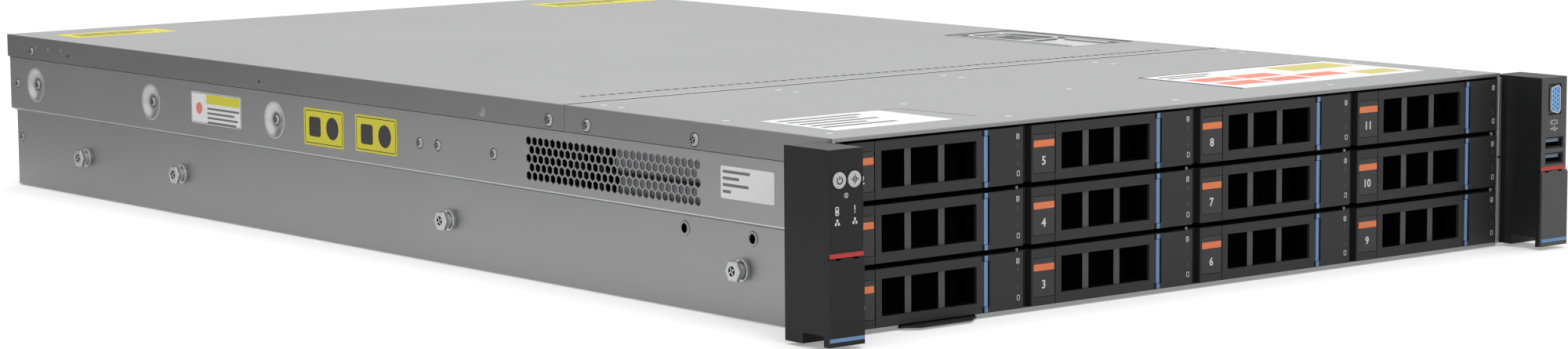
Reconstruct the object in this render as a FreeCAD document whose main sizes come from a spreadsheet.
"""A 2U rack server with twelve hot-swap drive bays, built as a parametric assembly.

Frame: millimetres, X across the rack, -Y towards the front, +Z up. The origin is the middle of
the underside. The front plane, where the drive faces lie, is half a chassis length in front of it.
"""
import FreeCAD, Part
import Sketcher
import math
import os

# ---------------------------------------------------------------------------------------------
# Driving sizes
# ---------------------------------------------------------------------------------------------
SIZES = {
    # chassis sheet metal
    "chassis_length": 745.5,      # front plane to the rear edge of the covers
    "chassis_width": 438.0,       # over the cover flanges
    "chassis_height": 87.5,       # underside to the top of the covers
    "band_recess": 4.6,           # depth of the rail band below the cover flange
    "metal": 0.8,                 # sheet thickness of walls, covers and rear panel
    "floor_metal": 1.2,           # sheet thickness of the base pan
    "slip": 0.05,                 # gap between a cover flange and the wall it overlaps
    "jog_low": 43.0,              # where the lower band ends
    "jog_rise": 1.8,              # height of the slope between the bands
    "flange_drop": 12.7,          # depth of the cover flanges below the top
    "cover_split": 197.0,         # front plane to the joint between the two covers
    "cover_gap": 0.4,             # width of that joint
    # drive bays
    "bay_gap": 5.2,               # between the trays of two columns
    "side_gap": 0.2,              # between an outer tray and the wall
    "row_start": 2.0,             # underside of the lowest drive face
    "row_gap": 2.54,              # between the faces of two rows
    "top_gap": 2.22,              # between the highest face and the cover
    "face_gap": 5.3,              # between the faces of two columns
    "face_shift": 3.85,           # how far a face sits to the right of its tray
    "face_depth": 12.0,
    "tray_length": 152.0,
    "tray_metal": 0.6,
    "disk_margin": 5.0,           # length of a tray less the length of its disk
    "disk_room": 2.94,            # row pitch less the height of a disk
    "divider_metal": 1.2,
    "ledge_metal": 1.0,
    "ledge_reach": 1.0,           # how far a ledge reaches under a tray
    # drive handle, button and hinge
    "handle_thick": 4.0,
    "handle_left": 15.0,
    "hinge_margin": 22.5,         # hinge axis to the right edge of the face
    "pin_radius": 1.0,
    "running_gap": 0.05,          # clearance of every hinge pin
    "part_gap": 0.3,              # clearance between pieces that pass each other
    "lug_height": 2.4,
    "window_left": 18.6,
    "window_margin": 5.6,         # windows to the hinge axis
    "window_low": 4.6,
    "window_top": 4.4,            # windows to the upper edge of the handle
    "window_bar": 3.7,
    "first_bar": 33.0,            # left edge of the face to the first bar between the windows
    "second_bar": 52.8,
    "button_left": 1.2,
    "button_width": 13.2,
    "button_low": 3.8,
    "button_top": 4.4,            # button to the upper edge of the face
    "button_thick": 3.0,
    # side vent
    "hex_pitch": 4.87,            # between neighbours in a row
    "hex_row": 4.22,              # between rows
    "hex_flats": 4.0,
    "vent_start": 96.1,           # front plane to the first hexagon
    "vent_rise": 14.65,           # middle row above the slope of the wall
    # rack ears
    "ear_reach": 22.3,            # how far an ear stands out from the cover flange
    "ear_width": 19.0,
    "ear_nose": 24.65,            # how far the ears stand in front of the front plane
    "ear_back": 5.6,
    "ear_low": 1.0,
    "ear_top_gap": 1.3,           # ear to the top of the covers
    "ear_skin": 2.2,
    "strip_high": 41.4,           # top of the coloured strip between panel and latch
    "strip_height": 2.15,
    "flap_thick": 2.5,
    "flap_proud": 0.75,
    "flap_low": 1.3,
    "flap_pin": 0.6,
    "cap_radius": 3.65,           # round push buttons
    "cap_drop": 13.3,             # their middle below the top of the ear
    # rail studs
    "stud_height": 22.0,
    "stud_neck": 3.0,
    "stud_head": 9.5,             # across flats
    # fans
    "fan_top_gap": 4.7,           # fan frame to the cover
    "fan_depth": 38.0,
    "fan_place": 212.0,           # front plane to the front of the fans
    "fan_rim": 1.5,               # least thickness of a fan frame
    "blade_gap": 1.0,
    "hub_radius": 17.0,
    # power supplies
    "psu_width": 73.5,
    "psu_top_gap": 4.8,
    "psu_length": 185.0,
    # mainboard
    "board_margin": 8.6,          # to the left wall
    "board_front": 262.0,
    "board_back": 10.5,           # to the rear edge of the covers
    "board_height": 7.0,
    "board_metal": 1.6,
}


class Size(float):
    """A number that remembers the spreadsheet formula it came from."""

    def __new__(cls, number, formula):
        made = super().__new__(cls, number)
        made.formula = formula
        return made

    def join(self, other, sign, number, swap=False):
        """A new size from this one and another, with the formula that joins them."""
        first, second = (formula(other), self.formula) if swap else (self.formula, formula(other))
        return Size(number, f"({first} {sign} {second})")

    def __add__(self, other):
        return self.join(other, "+", float(self) + float(other))

    def __radd__(self, other):
        return self.join(other, "+", float(other) + float(self), swap=True)

    def __sub__(self, other):
        return self.join(other, "-", float(self) - float(other))

    def __rsub__(self, other):
        return self.join(other, "-", float(other) - float(self), swap=True)

    def __mul__(self, other):
        return self.join(other, "*", float(self) * float(other))

    def __rmul__(self, other):
        return self.join(other, "*", float(other) * float(self), swap=True)

    def __truediv__(self, other):
        return self.join(other, "/", float(self) / float(other))

    def __neg__(self):
        return Size(-float(self), f"(0 - {self.formula})")


def formula(number):
    """The FreeCAD expression for a size, or for a plain number."""
    return number.formula if isinstance(number, Size) else f"({float(number):.6g})"


doc = FreeCAD.newDocument("RackServer")
sheet = doc.addObject("Spreadsheet::Sheet", "Sizes")
for row, (alias, number) in enumerate(SIZES.items(), start=1):
    sheet.set(f"A{row}", alias)
    sheet.set(f"B{row}", str(number))
    sheet.setAlias(f"B{row}", alias)
doc.recompute()


class Sizes:
    """Every driving size by name, such as sizes.metal, each tied to its spreadsheet cell."""

    def __getattr__(self, alias):
        return Size(SIZES[alias], f"Sizes.{alias}")


sizes = Sizes()
PLANES = {"XY": "XY_Plane", "XZ": "XZ_Plane", "YZ": "YZ_Plane"}
SUBPARTS = []


# ---------------------------------------------------------------------------------------------
# Small modelling vocabulary
# ---------------------------------------------------------------------------------------------
def body(label):
    """An empty PartDesign body that may hold several separate solids."""
    made = doc.addObject("PartDesign::Body", label)
    made.Label = label
    made.AllowCompound = True
    return made


def origin_item(owner, role):
    """One of a body's own origin planes or axes."""
    return next(item for item in owner.Origin.OriginFeatures if item.Role == role)


def pin_down(sketch, index, point, x, y):
    """Ties one point of a sketch to a place given by two sizes."""
    for kind, value in (("DistanceX", x), ("DistanceY", y)):
        ends = (-1, 1, index, point) if value >= 0 else (index, point, -1, 1)
        place = sketch.addConstraint(Sketcher.Constraint(kind, *ends, abs(float(value))))
        if isinstance(value, Size):
            sketch.setExpression(f"Constraints[{place}]", formula(value if value >= 0 else -value))


def rectangle(x_a, x_b, y_a, y_b):
    """A rectangle between two pairs of sketch coordinates, tied to its sizes."""
    def draw(sketch):
        left, right = sorted((x_a, x_b), key=float)
        low, high = sorted((y_a, y_b), key=float)
        corners = [FreeCAD.Vector(float(x), float(y), 0)
                   for x, y in ((left, low), (right, low), (right, high), (left, high))]
        first = sketch.GeometryCount
        for number in range(4):
            sketch.addGeometry(Part.LineSegment(corners[number], corners[(number + 1) % 4]), False)
        for number in range(4):
            after = (number + 1) % 4
            sketch.addConstraint(Sketcher.Constraint("Coincident", first + number, 2, first + after, 1))
            kind = "Vertical" if number % 2 else "Horizontal"
            sketch.addConstraint(Sketcher.Constraint(kind, first + number))
        pin_down(sketch, first, 1, left, low)
        pin_down(sketch, first + 1, 2, right, high)
    return draw


def circle(x, y, radius):
    """A circle tied to its centre and radius."""
    def draw(sketch):
        place = sketch.addGeometry(
            Part.Circle(FreeCAD.Vector(float(x), float(y), 0), FreeCAD.Vector(0, 0, 1), float(radius)), False)
        pin_down(sketch, place, 3, x, y)
        bound = sketch.addConstraint(Sketcher.Constraint("Radius", place, float(radius)))
        if isinstance(radius, Size):
            sketch.setExpression(f"Constraints[{bound}]", formula(radius))
    return draw


def outline(points):
    """A closed outline through points worked out from the sizes.

    A straight edge leads from each point to the next. A point written with two more numbers
    is the end of an arc that passes through the place those two numbers give.
    """
    def draw(sketch):
        edges = []
        for before, point in zip(points[-1:] + points[:-1], points):
            start, end = [FreeCAD.Vector(float(x), float(y), 0) for x, y in (before[:2], point[:2])]
            if len(point) > 2:
                edges.append(Part.Arc(start, FreeCAD.Vector(float(point[2]), float(point[3]), 0), end))
            else:
                edges.append(Part.LineSegment(start, end))
        sketch.addGeometry(edges, False)
    return draw


def round_point(x, y, radius, degrees):
    """A point on a circle, counted anticlockwise from the first axis of the sketch."""
    return (x + radius * math.cos(math.radians(degrees)), y + radius * math.sin(math.radians(degrees)))


def polygon(x, y, flats, corners=6, turn=30.0):
    """A regular polygon given by its width across flats."""
    reach = float(flats) / 2 / math.cos(math.pi / corners)
    return outline([(float(x) + reach * math.cos(math.radians(turn + 360.0 * n / corners)),
                     float(y) + reach * math.sin(math.radians(turn + 360.0 * n / corners)))
                    for n in range(corners)])


def pin_outline(x, y, radius):
    """A hexagonal pin whose corners lie on the given radius, so that it turns in its bore."""
    return polygon(x, y, 2 * float(radius) * math.cos(math.pi / 6))


def extrude(owner, plane, start, end, drawings, kind):
    """Pads or pockets drawings on a plane of the body, between two places on the plane's axis."""
    start, end = sorted((start, end), key=float)
    number = len(owner.Group)
    sketch = owner.newObject("Sketcher::SketchObject", f"{owner.Name}_outline_{number}")
    sketch.AttachmentSupport = (origin_item(owner, PLANES[plane]), [""])
    sketch.MapMode = "FlatFace"
    facing = -1 if plane == "XZ" else 1
    sketch.setExpression("AttachmentOffset.Base.z", formula(start * facing if isinstance(start, Size)
                                                            else float(start) * facing))
    for draw in drawings:
        draw(sketch)
    made = owner.newObject(f"PartDesign::{kind}", f"{owner.Name}_{kind.lower()}_{number}")
    made.Profile = sketch
    made.Length = float(end) - float(start)
    made.setExpression("Length", formula(end - start))
    made.Reversed = (facing < 0) == (kind == "Pad")
    return made


def pad(owner, plane, start, end, *drawings):
    """Adds material to a body."""
    return extrude(owner, plane, start, end, drawings, "Pad")


def cut(owner, plane, start, end, *drawings):
    """Takes material from a body, and makes sure that it did."""
    doc.recompute()
    before = owner.Shape.Volume
    made = extrude(owner, plane, start, end, drawings, "Pocket")
    doc.recompute()
    if owner.Shape.Volume > before - 1e-6:
        raise RuntimeError(f"a cut in {owner.Label} removed nothing")
    return made


def subpart(label, members, x=0, y=0, z=0):
    """A named sub-part made of one or more members, put in its place."""
    made = doc.addObject("Part::Compound", f"node_{label}")
    made.Label = label
    made.Links = members
    for axis, value in (("x", x), ("y", y), ("z", z)):
        made.setExpression(f"Placement.Base.{axis}", formula(value))
    SUBPARTS.append(made)
    return made


# ---------------------------------------------------------------------------------------------
# Places that several sub-parts share
# ---------------------------------------------------------------------------------------------
front = -sizes.chassis_length / 2
back = sizes.chassis_length / 2
cover_under = sizes.chassis_height - sizes.metal
wall_out = sizes.chassis_width / 2 - sizes.metal - sizes.slip
wall_in = wall_out - sizes.metal
lower_out = sizes.chassis_width / 2 - sizes.band_recess
lower_in = lower_out - sizes.metal
jog_high = sizes.jog_low + sizes.jog_rise
panel_place = back - 5                    # front side of the rear panel
flange_low = sizes.chassis_height - sizes.flange_drop
bay_pitch = (lower_in - sizes.side_gap + sizes.bay_gap / 2) / 2
tray_width = bay_pitch - sizes.bay_gap
face_width = bay_pitch - sizes.face_gap
face_left = face_width / 2 - sizes.face_shift       # left edge of a face from the middle of its tray
row_pitch = (cover_under - sizes.row_start - sizes.top_gap + sizes.row_gap) / 3
face_height = row_pitch - sizes.row_gap
disk_height = row_pitch - sizes.disk_room
hinge_place = face_width - sizes.hinge_margin       # hinge axis from the left edge of the face
window_right = hinge_place - sizes.window_margin
window_high = face_height - sizes.window_top
button_height = face_height - sizes.button_top - sizes.button_low
tray_middles = [bay_pitch * (column - 1.5) for column in range(4)]
row_lows = [sizes.row_start + row_pitch * row for row in range(3)]
LEFT, RIGHT = -1, 1


# ---------------------------------------------------------------------------------------------
# Chassis
# ---------------------------------------------------------------------------------------------
tag_left = tray_middles[0] - 19
tag_width = 45.0
tag_length = 70.0
tag_low = 0.5
tag_thick = 0.6


def base_pan():
    """The floor, with a raised front lip and a shallow slot for the pull-out tag."""
    made = body("base_pan_sheet")
    pad(made, "XY", 0, sizes.floor_metal,
        rectangle(-lower_in, lower_in, front, back - 1))
    pad(made, "XY", 0, sizes.row_start - 0.2,
        rectangle(-wall_in, wall_in, front, front + sizes.ear_back - sizes.metal))
    cut(made, "XY", tag_low - 0.1, sizes.row_start,
        rectangle(tag_left - sizes.part_gap, tag_left + tag_width + sizes.part_gap,
                  front, front + tag_length + 2))
    subpart("base_pan", [made])


def vent_hexagons(columns):
    """Centres of the staggered hexagons of a side vent, five rows of the given length."""
    centres = []
    for row in range(-2, 3):
        odd = row % 2
        for place in range(columns - odd):
            centres.append((front + sizes.vent_start + sizes.hex_pitch * (place + odd / 2),
                            jog_high + sizes.vent_rise + sizes.hex_row * row))
    return centres


DIMPLES = (30.8, 161.3, 288.7)            # recessed screw seats, from the rear edge
DIMPLE_FLATS = 19.0
DIMPLE_DEPTH = 1.6
DIMPLE_RISE = 15.2                        # above the slope of the wall
RAIL_SCREWS = (61.0, 110.7)               # holes for the rail bracket, from the front plane
RAIL_SCREW_DROP = 5.9                     # below the slope of the wall
RAIL_SCREW_RADIUS = 2.1


def side_wall(side, straight, columns):
    """One side wall: an upper band, a recessed lower band for the slide rail and a vent.

    Up to the distance straight behind the front plane the wall isn't recessed.
    """
    made = body("wall_left" if side == LEFT else "wall_right")
    rise = sizes.metal * 0.5
    section = [(lower_out, 0), (lower_out, sizes.jog_low), (wall_out, jog_high),
               (wall_out, cover_under), (wall_in, cover_under), (wall_in, jog_high + rise),
               (lower_in, sizes.jog_low + rise), (lower_in, 0)]
    pad(made, "XZ", front + straight, back - 1, outline([(side * x, z) for x, z in section]))
    pad(made, "XZ", front, front + straight,
        rectangle(side * wall_in, side * wall_out, sizes.ear_low, cover_under))
    pad(made, "XZ", front + straight - sizes.metal, front + straight,
        rectangle(side * lower_in, side * wall_out, sizes.ear_low, jog_high))
    for place in DIMPLES:
        seat_height = jog_high + DIMPLE_RISE
        pad(made, "YZ", side * (wall_in - DIMPLE_DEPTH), side * wall_in,
            polygon(back - place, seat_height, DIMPLE_FLATS, corners=8, turn=22.5))
        cut(made, "YZ", side * (wall_out - DIMPLE_DEPTH), side * (wall_out + 1),
            polygon(back - place, seat_height, DIMPLE_FLATS - 2 * sizes.metal, corners=16))
    cut(made, "YZ", side * (lower_in - 1), side * (lower_out + 1),
        *[circle(front + place, sizes.jog_low - RAIL_SCREW_DROP, RAIL_SCREW_RADIUS) for place in RAIL_SCREWS])
    cut(made, "YZ", side * (wall_in - 1), side * (wall_out + 1),
        *[polygon(y, z, sizes.hex_flats) for y, z in vent_hexagons(columns)])
    return made


def cover_section(y_start, y_end, label):
    """A cover: a flat top with a flange down each side."""
    made = body(label)
    half = sizes.chassis_width / 2
    points = [(half, flange_low), (half, sizes.chassis_height), (-half, sizes.chassis_height),
              (-half, flange_low), (sizes.metal - half, flange_low), (sizes.metal - half, cover_under),
              (half - sizes.metal, cover_under), (half - sizes.metal, flange_low)]
    pad(made, "XZ", y_start, y_end, outline(points))
    return made


def front_cover():
    """The short cover over the drive bays, with a folded front edge."""
    made = cover_section(front, front + sizes.cover_split - sizes.cover_gap / 2, "front_cover_sheet")
    pad(made, "XZ", front, front + sizes.metal,
        rectangle(-wall_in, wall_in, cover_under - 1, cover_under))
    subpart("front_cover", [made])


LATCH_MARGIN = 29.0                       # middle of the latch to the edge of the cover
LATCH_WIDTH = 50.0
LATCH_FRONT = 259.0                       # from the front plane
LATCH_LENGTH = 102.0
LATCH_DEPTH = 7.0
LATCH_PIN = 1.5
REAR_LIP = 4.0                            # height of the lip that closes the cover's rear edge
latch_middle = sizes.chassis_width / 2 - LATCH_MARGIN
latch_pin_y = front + LATCH_FRONT + 6
latch_pin_z = sizes.chassis_height - 3.2


def top_cover():
    """The long lift-off cover with a formed well for its latch and the latch's pin."""
    made = cover_section(front + sizes.cover_split + sizes.cover_gap / 2, back, "top_cover_sheet")
    pad(made, "XZ", back - sizes.metal, back, rectangle(-wall_in, wall_in, cover_under - REAR_LIP, cover_under))
    left, right = latch_middle - LATCH_WIDTH / 2, latch_middle + LATCH_WIDTH / 2
    y_low, y_high = front + LATCH_FRONT, front + LATCH_FRONT + LATCH_LENGTH
    floor = sizes.chassis_height - LATCH_DEPTH
    pad(made, "XY", floor - sizes.metal, cover_under,
        rectangle(left - sizes.metal, right + sizes.metal, y_low - sizes.metal, y_high + sizes.metal))
    cut(made, "XY", floor, sizes.chassis_height + 1, rectangle(left, right, y_low, y_high))
    pin = body("latch_pin")
    pad(pin, "YZ", left, right, pin_outline(latch_pin_y, latch_pin_z, LATCH_PIN))
    subpart("top_cover", [made, pin])


def cover_latch():
    """The lever that draws the top cover shut: a frame with a finger opening, hinged at the front."""
    made = body("latch_lever")
    half = LATCH_WIDTH / 2 - 7
    barrel = 2.7
    y_end = front + LATCH_FRONT + LATCH_LENGTH - 5
    top, under = latch_pin_z + 2.2, latch_pin_z - 0.6
    section = [(y_end, under), (y_end, top)]
    section += [round_point(latch_pin_y, latch_pin_z, barrel, degrees) for degrees in (55, 105, 150)]
    section += [(*round_point(latch_pin_y, latch_pin_z, barrel, 210), latch_pin_y - barrel, latch_pin_z),
                round_point(latch_pin_y, latch_pin_z, barrel, 255),
                round_point(latch_pin_y, latch_pin_z, barrel, 300)]
    pad(made, "YZ", latch_middle - half, latch_middle + half, outline(section))
    cut(made, "XY", latch_pin_z - 1, latch_pin_z + 3,
        rectangle(latch_middle - half + 8, latch_middle + half - 8, latch_pin_y + 40, y_end - 12))
    bore = LATCH_PIN + sizes.running_gap
    cut(made, "YZ", latch_middle - half - 1, latch_middle + half + 1,
        rectangle(latch_pin_y - bore, latch_pin_y + bore, latch_pin_z - bore, latch_pin_z + bore))
    subpart("cover_latch", [made])


# ---------------------------------------------------------------------------------------------
# Rear panel, power supplies
# ---------------------------------------------------------------------------------------------
psu_left = lower_in - sizes.psu_width - sizes.part_gap
psu_height = (cover_under - sizes.psu_top_gap - sizes.floor_metal - sizes.metal - 3 * sizes.part_gap) / 2
psu_lows = [sizes.floor_metal + sizes.part_gap,
            sizes.floor_metal + psu_height + 3 * sizes.part_gap + sizes.metal]
board_left = sizes.board_margin - lower_in
board_right = psu_left - 9.8
IO_PORTS = [(board_left + x, width, height)
            for x, width, height in ((9, 16, 14), (29, 16, 14), (51, 14, 16), (71, 31, 12))]
SLOT_LENGTH = 100.0
CARD_SLOTS = [(x, 22 + 18 * row) for x in (board_left + 115, board_right - 108) for row in range(3)]


def rear_panel():
    """The rear wall, its slot blanks, and the sheet-metal bay that holds the power supplies."""
    made = body("rear_sheet")
    pad(made, "XZ", panel_place, panel_place + sizes.metal,
        rectangle(-lower_in, lower_in, sizes.floor_metal, cover_under - 0.2))
    cut(made, "XZ", panel_place - 1, panel_place + 2,
        rectangle(psu_left - sizes.part_gap, lower_in - sizes.slip, psu_lows[0] - 0.1,
                  psu_lows[1] + psu_height + sizes.part_gap))
    board_top = sizes.board_height + sizes.board_metal
    cut(made, "XZ", panel_place - 1, panel_place + 2,
        *[rectangle(x - 0.3, x + width + 0.3, board_top, board_top + height + 0.3)
          for x, width, height in IO_PORTS])
    cut(made, "XZ", panel_place - 1, panel_place + 2,
        *[rectangle(x, x + SLOT_LENGTH, z, z + 14) for x, z in CARD_SLOTS])
    blanks = body("slot_blanks")
    pad(blanks, "XZ", panel_place - sizes.metal, panel_place,
        *[rectangle(x - 3, x + SLOT_LENGTH + 3, z - 1.5, z + 15.5) for x, z in CARD_SLOTS])
    bay = body("psu_bay")
    bay_front = back - sizes.psu_length - 8
    bay_wall = psu_left - sizes.part_gap
    pad(bay, "XZ", bay_front, panel_place,
        rectangle(bay_wall - sizes.metal, bay_wall, sizes.floor_metal, cover_under - 3))
    pad(bay, "XZ", bay_front, panel_place,
        rectangle(bay_wall, lower_in, psu_lows[1] - sizes.part_gap - sizes.metal,
                  psu_lows[1] - sizes.part_gap))
    subpart("rear_panel", [made, blanks, bay])


def power_supply(number, low):
    """A slide-in power supply: case, inlet recess and a loop handle."""
    made = body(f"psu_case_{number}")
    left, right = psu_left, psu_left + sizes.psu_width
    face = panel_place + 1.5
    high = low + psu_height
    pad(made, "XZ", face - sizes.psu_length, face, rectangle(left, right, low, high))
    cut(made, "XZ", face - 16, face + 1, rectangle(left + 6, left + 30, low + 11, low + 28))
    pad(made, "XZ", face - 16, face - 3, *[rectangle(left + x, left + x + 2, low + 18, low + 22)
                                          for x in (11, 17, 23)])
    grip_left, grip_right = left + 36, right - 8
    pad(made, "XZ", face, face + 26, rectangle(grip_left, grip_left + 3, low + 12, low + 28),
        rectangle(grip_right - 3, grip_right, low + 12, low + 28))
    pad(made, "XZ", face + 22, face + 26, rectangle(grip_left + 3, grip_right - 3, low + 12, low + 28))
    subpart(f"psu_{number}", [made])


# ---------------------------------------------------------------------------------------------
# Drive bays
# ---------------------------------------------------------------------------------------------
def drive_cage():
    """Dividers with ledges that carry the trays, wall ledges, and the filler beside the first bay."""
    dividers = body("bay_dividers")
    cage_front = front + sizes.face_depth + 1
    cage_back = cage_front + sizes.tray_length + 6
    half = sizes.divider_metal / 2
    reach = bay_pitch / 2 - tray_width / 2 + sizes.ledge_reach
    sections = []
    for middle in tray_middles[:3]:
        x = middle + bay_pitch / 2
        lefts = [(x - half, cover_under)]
        rights = [(x + half, cover_under)]
        for low in row_lows[:0:-1]:
            top = low - sizes.slip
            under = top - sizes.ledge_metal
            lefts += [(x - half, top), (x - reach, top), (x - reach, under), (x - half, under)]
            rights += [(x + half, top), (x + reach, top), (x + reach, under), (x + half, under)]
        foot = sizes.row_start - sizes.slip
        lefts += [(x - half, foot), (x - reach, foot), (x - reach, sizes.floor_metal)]
        rights += [(x + half, foot), (x + reach, foot), (x + reach, sizes.floor_metal)]
        sections.append(outline(lefts + rights[::-1]))
    pad(dividers, "XZ", cage_front, cage_back, *sections)
    ledges = body("wall_ledges")
    tray_side = tray_middles[3] + tray_width / 2 - sizes.ledge_reach
    strips = []
    for low, wall in zip(row_lows, (lower_in, lower_in, wall_in)):
        top = low - sizes.slip
        under = sizes.floor_metal if low == row_lows[0] else top - sizes.ledge_metal
        strips += [rectangle(side * tray_side, side * wall, under, top) for side in (LEFT, RIGHT)]
    pad(ledges, "XZ", cage_front, cage_back, *strips)
    filler = body("cable_channel_filler")
    first_tray = tray_middles[0] - tray_width / 2
    pad(filler, "XZ", front + 1, front + 3,
        rectangle(-wall_in, first_tray - sizes.part_gap, sizes.row_start, cover_under - 1))
    subpart("drive_cage", [dividers, ledges, filler])


AIR_SLOT = 18.0                           # width of the air slot behind each column


def backplane():
    """The board behind the bays, with a connector for each drive and slots for the air."""
    made = body("backplane_board")
    board_front = front + sizes.face_depth + sizes.tray_length + 10
    pad(made, "XZ", board_front, board_front + sizes.board_metal,
        rectangle(-lower_in, lower_in, sizes.floor_metal, cover_under))
    slot_end = tray_width / 2 - 6
    windows = [rectangle(middle - slot_end, middle - slot_end + AIR_SLOT, row_lows[0] + 4, cover_under - 6)
               for middle in tray_middles]
    cut(made, "XZ", board_front - 1, board_front + 3, *windows)
    sockets = body("drive_sockets")
    pad(sockets, "XZ", board_front - 8, board_front,
        *[rectangle(middle - 20, middle + 22, low + 4, low + 9)
          for middle in tray_middles for low in row_lows])
    subpart("backplane", [made, sockets])


handle_slot = sizes.handle_left - 0.4     # left side of the recess that takes the handle
BUTTON_ROOM = 8.0                         # depth of the recess behind the button
WING_BACK = 4.0                           # the wing that shuts the gap to the next column is set back
FACE_RIM = 1.2
TRAY_HIGH = 20.0


def carrier_parts():
    """Face, tray and disk of one carrier, with their origin at the face's lower left front corner."""
    face = body("carrier_face")
    width, height, depth = face_width, face_height, sizes.face_depth
    hinge, thick = hinge_place, sizes.handle_thick
    gap = sizes.part_gap
    block_left = hinge + thick / 2 + gap
    pad(face, "XZ", 0, depth, rectangle(0, width, 0, height))
    pad(face, "XZ", WING_BACK, depth, rectangle(face_left - tray_width / 2, 0, 0, height))
    cut(face, "XZ", 0, thick + gap, rectangle(handle_slot, block_left, -1, height + 1))
    cut(face, "XZ", 0, BUTTON_ROOM, rectangle(sizes.button_left - 0.2, handle_slot,
                                              sizes.button_low - 0.2, sizes.button_low + button_height + 0.2))
    cut(face, "XZ", 0, depth + 1,
        rectangle(sizes.window_left - 2, window_right + 3, FACE_RIM, height - FACE_RIM))
    lug = [(block_left, 0), (block_left, thick + gap), (hinge, thick + gap),
           (hinge - thick / 2, thick / 2), (hinge - thick / 4, 0)]
    for low, high in ((0, sizes.lug_height), (height - sizes.lug_height, height)):
        pad(face, "XY", low, high, outline(lug))
    pad(face, "XY", sizes.lug_height, height - sizes.lug_height,
        pin_outline(hinge, thick / 2, sizes.pin_radius))
    tray = body("carrier_tray")
    middle = face_left
    half = tray_width / 2
    metal = sizes.tray_metal
    section = [(middle - half, 0), (middle + half, 0), (middle + half, TRAY_HIGH),
               (middle + half - metal, TRAY_HIGH), (middle + half - metal, metal),
               (middle - half + metal, metal), (middle - half + metal, TRAY_HIGH), (middle - half, TRAY_HIGH)]
    pad(tray, "XZ", depth, depth + sizes.tray_length, outline(section))
    disk = doc.addObject("Part::Box", "disk")
    disk.setExpression("Length", formula(tray_width - 2 * metal))
    disk.setExpression("Width", formula(sizes.tray_length - sizes.disk_margin))
    disk.setExpression("Height", formula(disk_height))
    disk.setExpression("Placement.Base.x", formula(middle - half + metal))
    disk.setExpression("Placement.Base.y", formula(depth + 3))
    disk.setExpression("Placement.Base.z", formula(metal))
    return [face, tray, disk]


def handle_part():
    """The hinged handle: a plate with three deep windows and a hinge barrel."""
    made = body("handle_lever")
    thick, height, hinge = sizes.handle_thick, face_height, hinge_place
    left, low, high = sizes.window_left, sizes.window_low, window_high
    lug = sizes.lug_height + 0.2
    mid = thick / 2
    rim = 1.2
    pad(made, "XZ", 0, thick, rectangle(sizes.handle_left, hinge - mid - sizes.part_gap, 0, height))
    barrel = [(hinge - mid - 1, 0), (hinge + mid / 4, 0.1), round_point(hinge, mid, mid, -52),
              (*round_point(hinge, mid, mid, -38), *round_point(hinge, mid, mid, -45)),
              (hinge + mid - 0.1, mid - 0.5), (hinge + mid / 2, thick - 0.3), (hinge - mid - 1, thick)]
    pad(made, "XY", lug, height - lug, outline(barrel))
    pad(made, "XZ", thick, thick + 5, rectangle(left - rim, window_right + rim, low - rim, high + rim))
    starts = (left, sizes.first_bar + sizes.window_bar, sizes.second_bar + sizes.window_bar)
    ends = (sizes.first_bar, sizes.second_bar, window_right)
    cut(made, "XZ", 0, thick + 6, *[rectangle(start, end, low, high) for start, end in zip(starts, ends)])
    cut(made, "XZ", 0, rim, rectangle(left, window_right, low, high))
    bore = sizes.pin_radius + sizes.running_gap
    cut(made, "XY", lug - 1, height - lug + 1, rectangle(hinge - bore, hinge + bore, mid - bore, mid + bore))
    return made


def button_part():
    """The sprung release button: a plate with a stem that takes its spring."""
    made = body("release_button_cap")
    left, low = sizes.button_left, sizes.button_low
    right, high = left + sizes.button_width, low + button_height
    pad(made, "XZ", 0, sizes.button_thick, rectangle(left, right, low, high))
    middle = low + button_height / 2
    pad(made, "XZ", sizes.button_thick, sizes.button_thick + 2.6,
        rectangle(left + 3, right - 3, middle - 4, middle + 4))
    return made


def drive_bays():
    """Twelve carriers, each with its handle and release button, bay 0 at the lower left."""
    carrier, handle, button = carrier_parts(), handle_part(), button_part()
    for column, middle in enumerate(tray_middles):
        for row, low in enumerate(row_lows):
            number = column * 3 + row
            place = {"x": middle - face_left, "y": front, "z": low}
            subpart(f"drive_carrier_{number}", carrier, **place)
            subpart(f"carrier_handle_{number}", [handle], **place)
            subpart(f"release_button_{number}", [button], **place)


# ---------------------------------------------------------------------------------------------
# Rack ears
# ---------------------------------------------------------------------------------------------
ear_out = sizes.chassis_width / 2 + sizes.ear_reach
ear_in = ear_out - sizes.ear_width
nose = front - sizes.ear_nose
flap_back = nose - sizes.flap_proud + sizes.flap_thick
flap_pin_y = flap_back - sizes.flap_thick / 2
flap_high = sizes.strip_high - sizes.strip_height
flap_pin_z = flap_high - sizes.flap_thick / 2
ear_high = sizes.chassis_height - sizes.ear_top_gap
cap_height = ear_high - sizes.cap_drop
notch_front = nose + 3.05
notch_back = nose + 18.25
knuckles = (ear_in + 4.5, ear_out - 4.7)  # middles of the hinge lugs
KNUCKLE_WIDTH = 2.4
LUG_REACH = 0.6                           # half the height of a lug; it stays inside the turning flap
FLAP_SKIN = 0.33                          # what is left of the flap in front of a lug
cap_places = (ear_out - 5.6, ear_out - 14)          # power button and identify button
CAP_TRAVEL = 1.2


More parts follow.
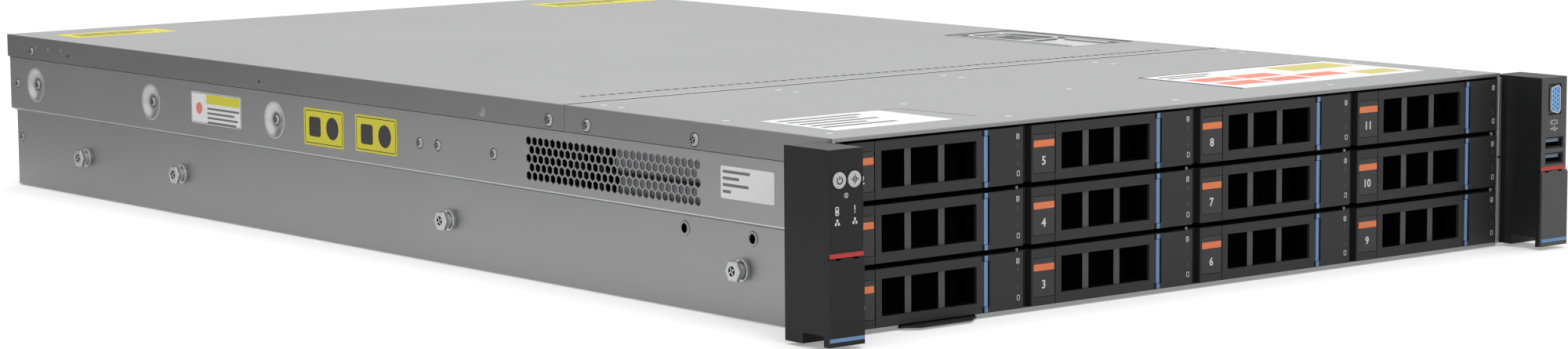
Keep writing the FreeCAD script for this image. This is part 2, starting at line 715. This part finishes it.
def ear_shell(side):
    """An ear's housing: a hollow panel box above, the seat of the latch flap below."""
    made = body("ear_shell_left" if side == LEFT else "ear_shell_right")
    pad(made, "XY", sizes.ear_low, ear_high,
        rectangle(side * ear_in, side * ear_out, nose, front + sizes.ear_back))
    pad(made, "XY", sizes.ear_low, flange_low - 0.3,
        rectangle(side * wall_out, side * ear_in, front + 0.2, front + sizes.ear_back - 0.2))
    cut(made, "XY", sizes.ear_low - 1, 5.8, rectangle(side * (ear_in - 1), side * (ear_out + 1),
                                                    notch_front, notch_back))
    cut(made, "XY", sizes.ear_low - 1, flap_high + 0.15,
        rectangle(side * (ear_in - 1), side * (ear_out + 1), nose - 1, flap_back + 0.2))
    cut(made, "XZ", nose + sizes.ear_skin, front + sizes.ear_back + 1,
        rectangle(side * (ear_in + 1.6), side * (ear_out - 1.6), sizes.strip_high + 2, ear_high - 1.6))
    lugs = [rectangle(side * (x - KNUCKLE_WIDTH / 2), side * (x + KNUCKLE_WIDTH / 2),
                      flap_pin_z - LUG_REACH, flap_pin_z + LUG_REACH) for x in knuckles]
    pad(made, "XZ", flap_pin_y - LUG_REACH, flap_back + 0.2, *lugs)
    pad(made, "YZ", side * (knuckles[0] - 2.6), side * (knuckles[1] + 2.6),
        pin_outline(flap_pin_y, flap_pin_z, sizes.flap_pin))
    return made


def left_ear():
    """The control ear, with holes for its two push buttons and the switch board behind them."""
    shell = ear_shell(LEFT)
    cut(shell, "XZ", nose - 1, nose + sizes.ear_skin + CAP_TRAVEL + 0.5,
        *[polygon(-x, cap_height, 2 * sizes.cap_radius + 0.2, corners=18) for x in cap_places])
    board = body("switch_board")
    pad(board, "XZ", nose + 9, nose + 10.6,
        rectangle(-ear_in - 1.6, 1.6 - ear_out, sizes.strip_high + 6, ear_high - 4))
    subpart("ear_left", [shell, board])


def push_button(label, x):
    """A round cap with a collar behind the panel and a stem towards the switch board."""
    made = body(f"{label}_cap")
    panel_back = nose + sizes.ear_skin
    pad(made, "XZ", nose - 0.6, panel_back + 0.2, polygon(-x, cap_height, 2 * sizes.cap_radius, corners=18))
    pad(made, "XZ", panel_back + 0.2, panel_back + 1.2,
        rectangle(-x - 3, 3 - x, cap_height - sizes.cap_radius - 1.2, cap_height + sizes.cap_radius + 1.2))
    pad(made, "XZ", panel_back + 1.2, nose + 9 - CAP_TRAVEL - 0.2,
        rectangle(-x - 1.5, 1.5 - x, cap_height - 1.5, cap_height + 1.5))
    subpart(label, [made])


def right_ear():
    """The port ear: a video socket, and two bus sockets with their shells and tongues."""
    shell = ear_shell(RIGHT)
    vga_x, vga_low, vga_high = ear_out - 9.1, ear_high - 18.8, ear_high - 3.4
    usb_x, usb_lows = vga_x, (ear_high - 35.7, ear_high - 43.6)
    cut(shell, "XZ", nose - 1, nose + sizes.ear_skin + 1,
        rectangle(vga_x - 4.9, vga_x + 4.9, vga_low, vga_high),
        *[rectangle(usb_x - 6.9, usb_x + 6.9, low, low + 5.6) for low in usb_lows])
    video = body("video_socket")
    pad(video, "XZ", nose + 0.4, nose + 12, rectangle(vga_x - 4.3, vga_x + 4.3, vga_low + 0.5, vga_high - 0.5))
    buses = body("bus_sockets")
    pad(buses, "XZ", nose + 0.4, nose + 15,
        *[rectangle(usb_x - 6.6, usb_x + 6.6, low + 0.25, low + 5.35) for low in usb_lows])
    cut(buses, "XZ", nose, nose + 12,
        *[rectangle(usb_x - 6.2, usb_x + 6.2, low + 0.65, low + 4.95) for low in usb_lows])
    pad(buses, "XZ", nose + 2, nose + 13,
        *[rectangle(usb_x - 5.6, usb_x + 5.6, low + 3.0, low + 4.6) for low in usb_lows])
    board = body("port_board")
    pad(board, "XZ", nose + 15, nose + 16.6,
        rectangle(ear_in + 1.6, ear_out - 1.6, sizes.strip_high + 3, ear_high - 4))
    stand = body("video_stand")
    pad(stand, "XZ", nose + 12, nose + 15, rectangle(vga_x - 3, vga_x + 3, vga_low + 3, vga_high - 3))
    subpart("ear_right", [shell, video, stand, buses, board])


def ear_latch(side, label):
    """The hinged flap over the rack screw, pulled open by its lower edge."""
    made = body(f"{label}_flap")
    flap_front = flap_back - sizes.flap_thick
    outer = ear_out + 0.8
    half = sizes.flap_thick / 2
    section = [(flap_front, sizes.flap_low), (flap_back, sizes.flap_low), (flap_back, flap_pin_z),
               round_point(flap_pin_y, flap_pin_z, half, 60),
               (*round_point(flap_pin_y, flap_pin_z, half, 120), flap_pin_y, flap_pin_z + half),
               (flap_front, flap_pin_z)]
    pad(made, "YZ", side * ear_in, side * outer, outline(section))
    pad(made, "XY", sizes.flap_low, flap_pin_z - 2,
        rectangle(side * (ear_out + 0.2), side * outer, flap_back, flap_back + 1.4))
    slots = [rectangle(side * (x - KNUCKLE_WIDTH / 2 - 0.2), side * (x + KNUCKLE_WIDTH / 2 + 0.2),
                       flap_pin_z - 1.2, flap_pin_z + 2) for x in knuckles]
    cut(made, "XZ", flap_front + FLAP_SKIN, flap_back + 1, *slots)
    bore = sizes.flap_pin + sizes.running_gap
    cut(made, "YZ", side * (knuckles[0] - 2.8), side * (knuckles[1] + 2.8),
        rectangle(flap_pin_y - bore, flap_pin_y + bore, flap_pin_z - bore, flap_pin_z + bore))
    subpart(label, [made])


# ---------------------------------------------------------------------------------------------
# Small outer pieces
# ---------------------------------------------------------------------------------------------
STUD_PLACES = (69.6, 301.9)               # from the front plane
REAR_STUD_PLACES = (186.1, 81.0)          # from the rear edge


def rail_studs():
    """Shoulder studs on the recessed bands that the slide rails hook on to."""
    made = body("rail_stud_set")
    for side in (LEFT, RIGHT):
        collar = lower_out + 1.0
        neck = collar + 2.2
        places = [front + y for y in STUD_PLACES] + [back - y for y in REAR_STUD_PLACES]
        pad(made, "YZ", side * lower_out, side * collar,
            *[polygon(y, sizes.stud_height, 2 * sizes.stud_neck + 4.4, corners=8, turn=22.5) for y in places])
        pad(made, "YZ", side * collar, side * neck,
            *[polygon(y, sizes.stud_height, 2 * sizes.stud_neck, corners=4, turn=45.0) for y in places])
        pad(made, "YZ", side * neck, side * (neck + 2.4),
            *[polygon(y, sizes.stud_height, sizes.stud_head, turn=0.0) for y in places])
    subpart("rail_studs", [made])


def info_tag():
    """The flat pull-out tag under the drive bays, with a grip along its front edge."""
    made = body("tag_plate")
    pad(made, "XY", tag_low, tag_low + tag_thick,
        rectangle(tag_left, tag_left + tag_width, front - 2, front + tag_length))
    pad(made, "XY", 0.1, tag_low + tag_thick + 0.5,
        outline([(tag_left, front - 1), (tag_left, front - 6), (tag_left + 1, front - 7),
                 (tag_left + tag_width - 1, front - 7), (tag_left + tag_width, front - 6),
                 (tag_left + tag_width, front - 1)]))
    subpart("info_tag", [made])


# ---------------------------------------------------------------------------------------------
# Fans and mainboard
# ---------------------------------------------------------------------------------------------
fan_low = sizes.floor_metal + sizes.metal
fan_size = cover_under - sizes.fan_top_gap - fan_low
fan_bore = fan_size / 2 - sizes.fan_rim
rotor_radius = fan_bore - sizes.blade_gap
fan_pitch = lower_in / 2 - 2.8
fan_middles = [fan_pitch * (number - 1.5) for number in range(4)]
fan_height = fan_low + fan_size / 2
fan_front = front + sizes.fan_place
fan_back = fan_front + sizes.fan_depth


def fan_frames():
    """Four fan frames with their stators, in a sheet-metal carrier that stands on the floor."""
    frames = body("fan_housings")
    half = fan_size / 2
    pad(frames, "XZ", fan_front, fan_back,
        *[rectangle(x - half, x + half, fan_low, fan_low + fan_size) for x in fan_middles])
    cut(frames, "XZ", fan_front - 1, fan_back + 1,
        *[polygon(x, fan_height, 2 * fan_bore, corners=16, turn=11.25) for x in fan_middles])
    pad(frames, "XZ", fan_back - 5, fan_back,
        *[polygon(x, fan_height, 2 * sizes.hub_radius - 2, corners=8, turn=22.5) for x in fan_middles])
    pad(frames, "XZ", fan_back - 5, fan_back,
        *[rectangle(x - half + 0.5, x + half - 0.5, fan_height - 1.2, fan_height + 1.2) for x in fan_middles])
    carrier = body("fan_carrier")
    pad(carrier, "XY", sizes.floor_metal, fan_low,
        rectangle(-lower_in, lower_in, fan_front - 3, fan_back + 3))
    fences = [middle + fan_pitch / 2 for middle in fan_middles[:3]]
    pad(carrier, "XY", fan_low, fan_low + fan_size,
        *[rectangle(x - 11.6, x + 11.6, fan_front + 2, fan_front + 2 + sizes.metal) for x in fences])
    subpart("fan_frames", [frames, carrier])


def fan_rotor():
    """A five-bladed rotor about its own origin, spinning about Y."""
    made = body("fan_rotor_wheel")
    depth = sizes.fan_depth - 6 - sizes.part_gap
    pad(made, "XZ", 0, depth, polygon(0, 0, 2 * sizes.hub_radius, corners=12, turn=90.0))
    blade = [(4.0, -6.0), (6.6, -6.0), (25.0, 6.0), (22.4, 6.0)]
    first = pad(made, "YZ", sizes.hub_radius - 1.5, rotor_radius, outline(blade))
    pattern = made.newObject("PartDesign::PolarPattern", "blades")
    pattern.Originals = [first]
    pattern.Axis = (origin_item(made, "Y_Axis"), [""])
    pattern.Angle = 360
    pattern.Occurrences = 5
    made.Tip = pattern
    return made


def fans():
    """The four rotors, each in its frame."""
    rotor = fan_rotor()
    for number, middle in enumerate(fan_middles):
        subpart(f"fan_rotor_{number}", [rotor], x=middle, y=fan_front + 1, z=fan_height)


MEMORY_LENGTH = 133.0


def mainboard():
    """The board on its standoffs with two finned coolers, memory modules and the rear ports."""
    board = body("board")
    top = sizes.board_height + sizes.board_metal
    left, right = board_left, board_right
    y_low, y_high = front + sizes.board_front, back - sizes.board_back
    pad(board, "XY", sizes.board_height, top, rectangle(left, right, y_low, y_high))
    posts = [(x, y) for x in (left + 10, right - 10) for y in (y_low + 10, y_low + 220, y_high - 14)]
    pad(board, "XY", sizes.floor_metal, sizes.board_height,
        *[polygon(x, y, 6.0, corners=4, turn=45.0) for x, y in posts])
    coolers = body("coolers")
    middles = (left + 92, right - 92)
    cooler_low = front + 300
    pad(coolers, "XY", top, top + 52,
        *[rectangle(x - 38, x + 38, cooler_low, cooler_low + 104) for x in middles])
    cut(coolers, "XZ", cooler_low - 1, cooler_low + 105,
        *[rectangle(x - 33.5 + 10 * slot, x - 33.5 + 10 * slot + 7, top + 8, top + 53)
          for x in middles for slot in range(7)])
    memory = body("memory_modules")
    banks = [x + way * (46 + 11 * slot) for x in middles for way in (-1, 1) for slot in range(3)]
    pad(memory, "XY", top, top + 33,
        *[rectangle(x - 0.7, x + 0.7, cooler_low - 14, cooler_low - 14 + MEMORY_LENGTH) for x in banks])
    ports = body("rear_ports")
    for x, width, height in IO_PORTS:
        pad(ports, "XY", top, top + height, rectangle(x, x + width, y_high - 18, panel_place + 1.2))
        cut(ports, "XZ", panel_place - 10, panel_place + 2,
            rectangle(x + 1.5, x + width - 1.5, top + 2, top + height - 2))
    subpart("mainboard", [board, coolers, memory, ports])


# ---------------------------------------------------------------------------------------------
# Assembly and export
# ---------------------------------------------------------------------------------------------
base_pan()
right_straight = sizes.face_depth + sizes.part_gap + sizes.metal
subpart("side_walls", [side_wall(LEFT, sizes.ear_back, 28), side_wall(RIGHT, right_straight, 4)])
front_cover()
top_cover()
cover_latch()
rear_panel()
for number, low in enumerate(psu_lows):
    power_supply(number, low)
drive_cage()
backplane()
drive_bays()
left_ear()
push_button("power_button", cap_places[0])
push_button("identify_button", cap_places[1])
right_ear()
ear_latch(LEFT, "ear_latch_left")
ear_latch(RIGHT, "ear_latch_right")
rail_studs()
info_tag()
fan_frames()
fans()
mainboard()

doc.recompute()
for item in doc.Objects:
    if "Invalid" in item.State or "Error" in item.State:
        raise RuntimeError(f"{item.Label} failed: {item.State}")
for node in SUBPARTS:
    if node.Shape.isNull() or not node.Shape.isValid():
        raise RuntimeError(f"{node.Label} has no valid shape")

os.makedirs("parts", exist_ok=True)
triangles = 0
for node in SUBPARTS:
    node.Shape.exportStep(f"parts/{node.Label}.step")
    triangles += len(node.Shape.tessellate(0.2)[1])
print(len(SUBPARTS), "sub-parts,", triangles, "triangles at 0.2 mm")
